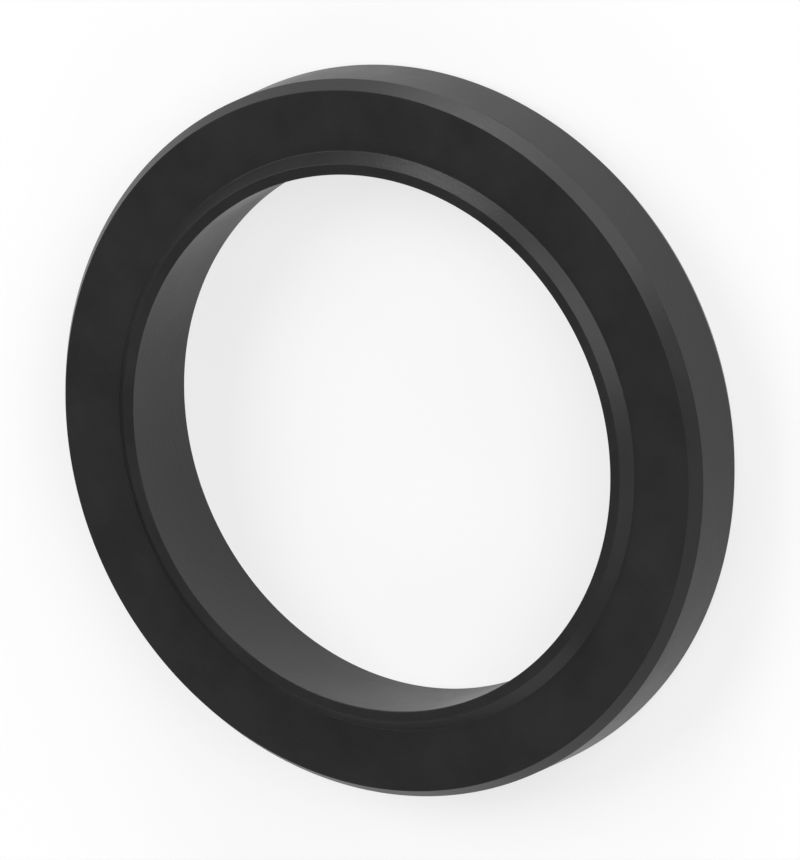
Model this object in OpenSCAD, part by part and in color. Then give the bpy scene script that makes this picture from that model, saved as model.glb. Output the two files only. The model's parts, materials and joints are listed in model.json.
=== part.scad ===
// Square-section rubber seal ring with chamfered outer rims and a raised bead round the bore.
// The ring lies on its flat back face, with the bead on top. The origin is the centre of the
// back face, +Z runs along the ring's axis towards the bead, and sizes are in millimetres.

/* [Ring body] */
// Diameter of the bore, a little under that of the spigot which it grips
bore_d = 29.9; // [10:0.1:120]
// Radial width of the section, from the bore to the outer wall
section_w = 5.05; // [4:0.05:12]
// Thickness of the body along the axis, from the back face to the front face
body_h = 5; // [2.5:0.1:12]

/* [Rim chamfers] */
// Length of each outer rim's chamfer along the axis
chamfer_h = 0.8; // [0.1:0.1:1.2]
// Angle between each chamfer and the ring's axis
chamfer_angle = 30; // [15:1:45]

/* [Sealing bead] */
// Height of the bead above the front face
bead_h = 0.6; // [0.2:0.1:1]
// Radial width of the flat crest, which starts at the bore
bead_crest_w = 0.6; // [0.2:0.1:1.2]
// Angle between the bead's outer flank and the front face
bead_angle = 45; // [40:1:75]

/* [Hidden] */
// Facets of a full turn in the preview
$fn = 180;

// Radii of the section's corners, from the bore outwards
bore_r = bore_d / 2;
crest_r = bore_r + bead_crest_w;
flank_r = crest_r + bead_h / tan(bead_angle);
wall_r = bore_r + section_w;
face_r = wall_r - chamfer_h * tan(chamfer_angle);

// Heights of the section's corners, from the back face upwards
crest_z = body_h + bead_h;
wall_low_z = chamfer_h;
wall_high_z = body_h - chamfer_h;

// Half section of the ring: X is the radius and Y is the height
module ring_section() {
    polygon([
        [bore_r, 0],
        [face_r, 0],
        [wall_r, wall_low_z],
        [wall_r, wall_high_z],
        [face_r, body_h],
        [flank_r, body_h],
        [crest_r, crest_z],
        [bore_r, crest_z],
    ]);
}

// The whole ring, moulded in one piece
module seal_ring() {
    color("#2c2c2c")
        rotate_extrude()
            ring_section();
}

seal_ring();
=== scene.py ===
"""A black rubber seal ring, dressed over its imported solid, on a white studio floor.

The ring lies on its flat back face with the sealing bead on top. Lengths in the dataclasses are
millimetres, as on a drawing of the ring, and metres() turns them into the scene's unit. Angles are
degrees.
"""

import json
import logging
import math
from dataclasses import dataclass, field
from enum import Enum
from typing import Any

import bpy
from mathutils import Matrix, Vector


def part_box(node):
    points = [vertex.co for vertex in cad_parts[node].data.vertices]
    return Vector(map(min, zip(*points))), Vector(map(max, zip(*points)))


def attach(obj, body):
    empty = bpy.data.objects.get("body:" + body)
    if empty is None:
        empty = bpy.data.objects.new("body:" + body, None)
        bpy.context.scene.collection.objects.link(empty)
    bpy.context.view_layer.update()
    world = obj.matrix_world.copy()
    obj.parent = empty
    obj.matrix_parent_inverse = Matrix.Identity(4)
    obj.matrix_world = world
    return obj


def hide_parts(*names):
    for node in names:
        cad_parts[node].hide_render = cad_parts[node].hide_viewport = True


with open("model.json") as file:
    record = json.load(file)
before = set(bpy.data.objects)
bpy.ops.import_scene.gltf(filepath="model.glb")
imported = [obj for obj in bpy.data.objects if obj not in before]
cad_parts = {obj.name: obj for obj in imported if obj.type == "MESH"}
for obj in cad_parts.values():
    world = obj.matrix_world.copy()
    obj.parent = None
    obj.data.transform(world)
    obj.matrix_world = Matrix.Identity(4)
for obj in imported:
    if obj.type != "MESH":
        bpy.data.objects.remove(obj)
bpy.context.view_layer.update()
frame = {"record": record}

LOG = logging.getLogger("seal_ring")
RING_NODE = "seal_ring"
RING_BODY = "root"
MM_PER_M = 1000.0


def metres(length_mm: float) -> float:
    """Turns millimetres into metres.

    Args:
        length_mm: A length as on the ring's drawing.

    Returns:
        The length in the scene's unit.
    """
    return length_mm / MM_PER_M


def millimetres(length_m: float) -> float:
    """Turns metres into millimetres.

    Args:
        length_m: A length in the scene's unit.

    Returns:
        The length as on the ring's drawing.
    """
    return length_m * MM_PER_M


def linear(hex_colour: str) -> tuple[float, float, float, float]:
    """Turns an sRGB hex colour into linear RGBA, by the curve of the sRGB standard.

    Args:
        hex_colour: A colour such as "#2c2c2c".

    Returns:
        Red, green and blue in linear light, and an alpha of 1.
    """
    levels = [int(hex_colour[i : i + 2], 16) / 255.0 for i in (1, 3, 5)]
    red, green, blue = (
        level / 12.92 if level <= 0.04045 else ((level + 0.055) / 1.055) ** 2.4
        for level in levels
    )
    return red, green, blue, 1.0


def add_node(
    tree: bpy.types.NodeTree,
    kind: str,
    settings: dict[str | int, Any] | None = None,
    links: dict[str | int, bpy.types.NodeSocket] | None = None,
) -> bpy.types.Node:
    """Adds a node with its settings and links.

    Args:
        tree: The node tree that takes the node.
        kind: Blender's name for the kind of node.
        settings: Values by property name, or by an input's name or number.
        links: Output sockets by the name or number of the input that each feeds.

    Returns:
        The new node.
    """
    node = tree.nodes.new(kind)
    for name, value in (settings or {}).items():
        if isinstance(name, str) and hasattr(node, name):
            setattr(node, name, value)
        else:
            node.inputs[name].default_value = value
    for name, socket in (links or {}).items():
        tree.links.new(socket, node.inputs[name])
    return node


class Corner(Enum):
    """How the mould leaves a corner of the ring's section."""

    CRISP = "square edge at the bore"
    EASED = "blunt edge of a chamfer or of the bead"
    FOOT = "inner corner where the bead rises from the face"


@dataclass(frozen=True)
class SectionPoint:
    """A point of the finished section, with the surface's outward direction there."""

    r: float
    z: float
    normal_r: float
    normal_z: float


@dataclass(frozen=True)
class MouldedRubber:
    """Black nitrile rubber, pressed in a turned steel mould.

    The mould leaves a satin skin with a fine grain, and its own turning marks as faint rings.
    Wax that rises to the skin greys the black a little, in soft patches.
    """

    name: str = "black_nitrile_rubber_moulded"
    deep_colour: str = "#1b1b1b"
    hazed_colour: str = "#252525"
    # Fitted to the picture's greys, and below the 1.5 or so of such rubber: the upright walls
    # mirror the white floor, and a lower index keeps them dark
    ior: float = 1.36
    smoothest: float = 0.36
    roughest: float = 0.44
    # Patches of wax haze, a few millimetres across, with finer clouds in them
    haze_mm: float = 3.5
    haze_detail: float = 4.0
    haze_clouds: float = 0.6
    # Values of the haze at which the rubber is smoothest and roughest
    haze_low: float = 0.3
    haze_high: float = 0.7
    # The skin's grain is near 0.05 mm on such rubber, and is drawn coarser to show in the render
    grain_mm: float = 0.22
    grain_detail: float = 2.0
    grain_depth_mm: float = 0.009
    # The mould's turning marks are near 0.1 mm apart, and are drawn coarser to show in the render
    mark_pitch_mm: float = 0.18
    mark_detail: float = 1.0
    mark_depth_mm: float = 0.0025
    # Weight of the height against the radius, so that no slope of the section runs along a mark
    mark_rise: float = 1.37

    def turning_marks(
        self, tree: bpy.types.NodeTree, place: bpy.types.NodeSocket
    ) -> bpy.types.NodeSocket:
        """Draws the mould's turning marks as rings round the axis.

        Args:
            tree: The rubber's node tree.
            place: The socket that gives a point's place on the ring.

        Returns:
            The socket that gives the marks' height.
        """
        flat_place = add_node(
            tree, "ShaderNodeVectorMath", {"operation": "MULTIPLY", 1: (1.0, 1.0, 0.0)}, {0: place}
        )
        radius = add_node(
            tree, "ShaderNodeVectorMath", {"operation": "LENGTH"}, {0: flat_place.outputs[0]}
        )
        height = add_node(tree, "ShaderNodeSeparateXYZ", None, {0: place})
        across = add_node(
            tree,
            "ShaderNodeMath",
            {"operation": "MULTIPLY_ADD", 1: self.mark_rise},
            {0: height.outputs["Z"], 2: radius.outputs["Value"]},
        )
        marks = add_node(
            tree,
            "ShaderNodeTexNoise",
            {
                "noise_dimensions": "1D",
                "Scale": 1.0 / metres(self.mark_pitch_mm),
                "Detail": self.mark_detail,
            },
            {"W": across.outputs[0]},
        )
        return marks.outputs[0]

    def skin(
        self, tree: bpy.types.NodeTree, place: bpy.types.NodeSocket
    ) -> bpy.types.NodeSocket:
        """Raises the turning marks and the grain on the surface.

        Args:
            tree: The rubber's node tree.
            place: The socket that gives a point's place on the ring.

        Returns:
            The socket that gives the skin's normal.
        """
        grain = add_node(
            tree,
            "ShaderNodeTexNoise",
            {"Scale": 1.0 / metres(self.grain_mm), "Detail": self.grain_detail},
            {"Vector": place},
        )
        marked = add_node(
            tree,
            "ShaderNodeBump",
            {"Distance": metres(self.mark_depth_mm)},
            {"Height": self.turning_marks(tree, place)},
        )
        grained = add_node(
            tree,
            "ShaderNodeBump",
            {"Distance": metres(self.grain_depth_mm)},
            {"Height": grain.outputs[0], "Normal": marked.outputs[0]},
        )
        return grained.outputs[0]

    def build(self) -> bpy.types.Material:
        """Makes the node material.

        Returns:
            The rubber as a Blender material.
        """
        material = bpy.data.materials.new(self.name)
        material.use_nodes = True
        tree = material.node_tree
        tree.nodes.clear()
        place = add_node(tree, "ShaderNodeTexCoord").outputs["Object"]
        haze = add_node(
            tree,
            "ShaderNodeTexNoise",
            {
                "Scale": 1.0 / metres(self.haze_mm),
                "Detail": self.haze_detail,
                "Roughness": self.haze_clouds,
            },
            {"Vector": place},
        )
        # Inputs 6 and 7 and output 2 are the colours of the mix node
        colour = add_node(
            tree,
            "ShaderNodeMix",
            {"data_type": "RGBA", 6: linear(self.deep_colour), 7: linear(self.hazed_colour)},
            {0: haze.outputs[0]},
        )
        roughness = add_node(
            tree,
            "ShaderNodeMapRange",
            {
                "From Min": self.haze_low,
                "From Max": self.haze_high,
                "To Min": self.smoothest,
                "To Max": self.roughest,
            },
            {"Value": haze.outputs[0]},
        )
        rubber = add_node(
            tree,
            "ShaderNodeBsdfPrincipled",
            {"IOR": self.ior},
            {
                "Base Color": colour.outputs[2],
                "Roughness": roughness.outputs[0],
                "Normal": self.skin(tree, place),
            },
        )
        add_node(tree, "ShaderNodeOutputMaterial", None, {"Surface": rubber.outputs[0]})
        return material


@dataclass
class SealRing:
    """The ring: its section's sizes in millimetres, its mesh and its finish."""

    bore_r: float
    wall_r: float
    body_h: float
    crest_z: float
    chamfer_h: float
    # The chamfer leans from the axis, and the bead's flank slopes from the face
    chamfer_angle: float = 30.0
    bead_angle: float = 45.0
    crest_w: float = 0.6
    # The mesh: steps round the axis, steps in a rounded corner, and a strip's width on a flat
    turn_steps: int = 384
    arc_steps: int = 4
    span_mm: float = 0.75
    corner_r: dict[Corner, float] = field(
        default_factory=lambda: {Corner.CRISP: 0.05, Corner.EASED: 0.05, Corner.FOOT: 0.05}
    )
    finish: MouldedRubber = MouldedRubber()

    @classmethod
    def from_frame(cls) -> "SealRing":
        """Takes the section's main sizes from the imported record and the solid's box.

        Returns:
            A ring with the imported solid's sizes.
        """
        mounts = {mount["name"]: mount for mount in frame["record"]["mounts"]}
        body_h = millimetres(mounts["front_face"]["pos_m"][2])
        rim = mounts["rim"]["dims"]
        return cls(
            bore_r=mounts["bore"]["dims"]["r_mm"],
            wall_r=rim["r_mm"],
            body_h=body_h,
            crest_z=millimetres(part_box(RING_NODE)[1].z),
            chamfer_h=(body_h - rim["length_mm"]) / 2.0,
        )

    def corners(self) -> list[tuple[float, float, Corner]]:
        """Lists the section's corners, with the rubber on the left.

        Returns:
            Radius, height and kind of each corner.
        """
        face_r = self.wall_r - self.chamfer_h * math.tan(math.radians(self.chamfer_angle))
        crest_r = self.bore_r + self.crest_w
        bead_h = self.crest_z - self.body_h
        foot_r = crest_r + bead_h / math.tan(math.radians(self.bead_angle))
        return [
            (self.bore_r, 0.0, Corner.CRISP),
            (face_r, 0.0, Corner.EASED),
            (self.wall_r, self.chamfer_h, Corner.EASED),
            (self.wall_r, self.body_h - self.chamfer_h, Corner.EASED),
            (face_r, self.body_h, Corner.EASED),
            (foot_r, self.body_h, Corner.FOOT),
            (crest_r, self.crest_z, Corner.EASED),
            (self.bore_r, self.crest_z, Corner.CRISP),
        ]

    def rounded_corner(
        self, before: Vector, here: Vector, after: Vector, radius: float
    ) -> list[SectionPoint]:
        """Rounds one corner of the section with an arc.

        Args:
            before: The corner before this one, as radius and height.
            here: The corner to round.
            after: The corner after this one.
            radius: The arc's radius.

        Returns:
            Points along the arc, from its start to its end.
        """
        way_in = (here - before).normalized()
        way_out = (after - here).normalized()
        turn = math.atan2(way_in.cross(way_out), way_in.dot(way_out))
        side = math.copysign(1.0, turn)
        start = here - way_in * (radius * math.tan(abs(turn) / 2.0))
        outward = Vector((way_in.y, -way_in.x))
        middle = start - outward * (side * radius)
        points = []
        for step in range(self.arc_steps + 1):
            normal = outward.copy()
            normal.rotate(Matrix.Rotation(turn * step / self.arc_steps, 2))
            place = middle + normal * (side * radius)
            points.append(SectionPoint(place.x, place.y, normal.x, normal.y))
        return points

    def section(self) -> list[SectionPoint]:
        """Draws the section with rounded corners and evenly split flats.

        Returns:
            The closed outline's points, with the rubber on the left.
        """
        corners = self.corners()
        places = [Vector((r, z)) for r, z, _ in corners]
        arcs = [
            self.rounded_corner(
                places[i - 1], places[i], places[(i + 1) % len(places)], self.corner_r[kind]
            )
            for i, (_, _, kind) in enumerate(corners)
        ]
        outline = []
        for arc, next_arc in zip(arcs, arcs[1:] + arcs[:1]):
            outline.extend(arc)
            first, last = arc[-1], next_arc[0]
            length = math.hypot(last.r - first.r, last.z - first.z)
            splits = max(1, round(length / self.span_mm))
            for split in range(1, splits):
                share = split / splits
                outline.append(
                    SectionPoint(
                        first.r + (last.r - first.r) * share,
                        first.z + (last.z - first.z) * share,
                        first.normal_r,
                        first.normal_z,
                    )
                )
        return outline

    def build(self) -> bpy.types.Object:
        """Turns the section round the axis into a closed mesh with exact normals.

        Returns:
            The ring's object, linked to the scene.
        """
        outline = self.section()
        count = len(outline)
        places, normals, faces = [], [], []
        for step in range(self.turn_steps):
            angle = math.tau * step / self.turn_steps
            cos, sin = math.cos(angle), math.sin(angle)
            for point in outline:
                places.append((metres(point.r * cos), metres(point.r * sin), metres(point.z)))
                normals.append((point.normal_r * cos, point.normal_r * sin, point.normal_z))
            here, there = step * count, (step + 1) % self.turn_steps * count
            for i in range(count):
                j = (i + 1) % count
                faces.append((here + i, there + i, there + j, here + j))
        mesh = bpy.data.meshes.new("rubber_ring")
        mesh.from_pydata(places, [], faces)
        mesh.shade_smooth()
        mesh.normals_split_custom_set_from_vertices(normals)
        ring = bpy.data.objects.new("rubber_ring", mesh)
        bpy.context.scene.collection.objects.link(ring)
        return ring

    def dress(self, ring: bpy.types.Object) -> None:
        """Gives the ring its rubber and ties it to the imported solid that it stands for.

        Args:
            ring: The object that build made.
        """
        ring.data.materials.append(self.finish.build())
        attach(ring, RING_BODY)
        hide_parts(RING_NODE)


@dataclass(frozen=True)
class WhitePaper:
    """White paper from a roll, matt and even, as a product table has."""

    name: str = "white_paper_roll"
    colour: str = "#fafafa"
    # How far the camera and reflections see shadows thinned towards white
    veil: float = 0.68
    # Strength of the veil's light, at which it shows as plain white
    veil_strength: float = 1.0

    def build(self) -> bpy.types.Material:
        """Makes the floor's material, which stays white to the camera and keeps shadows.

        Returns:
            The paper as a Blender material.
        """
        material = bpy.data.materials.new(self.name)
        material.use_nodes = True
        tree = material.node_tree
        tree.nodes.clear()
        rays = add_node(tree, "ShaderNodeLightPath").outputs
        seen = rays["Is Camera Ray"]
        for kind in ("Is Glossy Ray", "Is Transmission Ray"):
            either = add_node(
                tree, "ShaderNodeMath", {"operation": "MAXIMUM"}, {0: seen, 1: rays[kind]}
            )
            seen = either.outputs[0]
        veil = add_node(
            tree, "ShaderNodeMath", {"operation": "MULTIPLY", 1: self.veil}, {0: seen}
        )
        paper = add_node(tree, "ShaderNodeBsdfDiffuse", {"Color": linear(self.colour)})
        white = add_node(tree, "ShaderNodeEmission", {"Strength": self.veil_strength})
        both = add_node(
            tree,
            "ShaderNodeMixShader",
            None,
            {0: veil.outputs[0], 1: paper.outputs[0], 2: white.outputs[0]},
        )
        add_node(tree, "ShaderNodeOutputMaterial", None, {"Surface": both.outputs[0]})
        return material


@dataclass(frozen=True)
class Softbox:
    """A large soft lamp far from the ring.

    Azimuth 0 is on the +X side and 90 on the +Y side. The strength is what falls on a surface
    that faces the lamp, and pi makes a white surface white.
    """

    name: str
    azimuth: float
    elevation: float
    spread: float
    strength: float
    # Only marks the lamp's side of the ring, because a sun's light doesn't depend on its place
    distance_mm: float = 500.0

    def build(self) -> bpy.types.Object:
        """Hangs the lamp.

        Returns:
            The lamp's object, linked to the scene.
        """
        lamp = bpy.data.lights.new(self.name, "SUN")
        lamp.energy = self.strength
        lamp.angle = math.radians(self.spread)
        holder = bpy.data.objects.new(self.name, lamp)
        turn, rise = math.radians(self.azimuth), math.radians(self.elevation)
        towards = Vector(
            (math.cos(turn) * math.cos(rise), math.sin(turn) * math.cos(rise), math.sin(rise))
        )
        holder.rotation_mode = "QUATERNION"
        holder.rotation_quaternion = towards.to_track_quat("Z", "Y")
        holder.location = towards * metres(self.distance_mm)
        bpy.context.scene.collection.objects.link(holder)
        return holder


@dataclass(frozen=True)
class Studio:
    """The floor, the room's dim ceiling and the lamps."""

    floor_mm: float = 4000.0
    paper: WhitePaper = WhitePaper()
    room_colour: str = "#ffffff"
    # Strength of the room's light above the floor's level, and below it
    ceiling: float = 0.085
    below: float = 1.0
    # Half the band round the horizon in which one turns into the other, as a sine
    horizon: float = 0.01
    lamps: tuple[Softbox, ...] = (
        Softbox("key_softbox", 157.0, 3.0, 36.0, 3.6),
        Softbox("side_softbox", 114.0, 10.0, 36.0, 1.5),
        Softbox("high_softbox", 90.0, 45.0, 36.0, 1.35),
        Softbox("far_softbox", 215.0, 45.0, 36.0, 1.4),
        Softbox("back_softbox", 300.0, 30.0, 30.0, 0.5),
        Softbox("fill_softbox", 30.0, 26.0, 40.0, 0.47),
        Softbox("rim_softbox", 340.0, 12.0, 24.0, 0.3),
    )

    def build_floor(self) -> bpy.types.Object:
        """Lays the paper under the ring.

        Returns:
            The floor's object.
        """
        half = metres(self.floor_mm) / 2.0
        mesh = bpy.data.meshes.new("paper_floor")
        corners = [(-half, -half, 0.0), (half, -half, 0.0), (half, half, 0.0), (-half, half, 0.0)]
        mesh.from_pydata(corners, [], [(0, 1, 2, 3)])
        mesh.materials.append(self.paper.build())
        floor = bpy.data.objects.new("paper_floor", mesh)
        bpy.context.scene.collection.objects.link(floor)
        return floor

    def build_room(self) -> None:
        """Makes the world: a dim even ceiling above the floor, and white below its level."""
        world = bpy.data.worlds.new("studio_room")
        world.use_nodes = True
        tree = world.node_tree
        tree.nodes.clear()
        way = add_node(tree, "ShaderNodeTexCoord").outputs["Generated"]
        rise = add_node(tree, "ShaderNodeSeparateXYZ", None, {0: way})
        level = add_node(
            tree,
            "ShaderNodeMapRange",
            {
                "From Min": -self.horizon,
                "From Max": self.horizon,
                "To Min": self.below,
                "To Max": self.ceiling,
            },
            {"Value": rise.outputs["Z"]},
        )
        room = add_node(
            tree,
            "ShaderNodeBackground",
            {"Color": linear(self.room_colour)},
            {"Strength": level.outputs[0]},
        )
        add_node(tree, "ShaderNodeOutputWorld", None, {"Surface": room.outputs[0]})
        bpy.context.scene.world = world

    def build(self) -> None:
        """Lays the floor, makes the room and hangs the lamps."""
        self.build_floor()
        self.build_room()
        for lamp in self.lamps:
            lamp.build()


@dataclass(frozen=True)
class PictureCamera:
    """An orthographic camera that frames the ring as the picture does.

    The pixel values place the ring in the picture: the centre of the front face, the outer
    diameter, how far the axis leans from the line of sight and how the outline's long axis tilts.
    """

    width_px: int = 800
    height_px: int = 860
    centre_px: tuple[float, float] = (376.485, 440.254)
    diameter_px: float = 736.6
    lean_deg: float = 33.219
    tilt_deg: float = 114.166
    distance_mm: float = 300.0
    clip_start_mm: float = 1.0
    clip_end_mm: float = 3000.0

    def build(self, ring: SealRing) -> bpy.types.Object:
        """Makes the camera and gives it to the scene.

        Args:
            ring: The ring to frame.

        Returns:
            The camera's object.
        """
        mm_per_px = 2.0 * ring.wall_r / self.diameter_px
        lean, tilt = math.radians(self.lean_deg), math.radians(self.tilt_deg)
        back = Vector((0.0, math.sin(lean), math.cos(lean)))
        across = Vector((0.0, math.cos(lean), -math.sin(lean)))
        along = Vector((1.0, 0.0, 0.0))
        right = along * -math.cos(tilt) + across * math.sin(tilt)
        up = along * -math.sin(tilt) - across * math.cos(tilt)
        # Whole numbers are the middles of pixels
        off_x = (self.width_px - 1) / 2.0 - self.centre_px[0]
        off_y = self.centre_px[1] - (self.height_px - 1) / 2.0
        target = Vector((0.0, 0.0, ring.body_h)) + (right * off_x + up * off_y) * mm_per_px
        lens = bpy.data.cameras.new("picture_camera")
        lens.type = "ORTHO"
        lens.ortho_scale = metres(mm_per_px * max(self.width_px, self.height_px))
        lens.clip_start = metres(self.clip_start_mm)
        lens.clip_end = metres(self.clip_end_mm)
        camera = bpy.data.objects.new("picture_camera", lens)
        turn = Matrix((right, up, back)).transposed().to_4x4()
        place = (target + back * self.distance_mm) / MM_PER_M
        camera.matrix_world = Matrix.Translation(place) @ turn
        bpy.context.scene.collection.objects.link(camera)
        bpy.context.scene.camera = camera
        return camera


def main() -> None:
    """Builds the ring, the studio and the camera."""
    logging.basicConfig(level=logging.INFO, format="%(name)s: %(message)s")
    bpy.context.scene.view_settings.view_transform = "Standard"
    ring = SealRing.from_frame()
    piece = ring.build()
    ring.dress(piece)
    LOG.info("%s: %d faces", piece.name, len(piece.data.polygons))
    camera = PictureCamera().build(ring)
    LOG.info("%s: %.2f mm high frame", camera.name, millimetres(camera.data.ortho_scale))
    studio = Studio()
    studio.build()
    LOG.info("studio: %d lamps", len(studio.lamps))


if __name__ == "__main__":
    main()
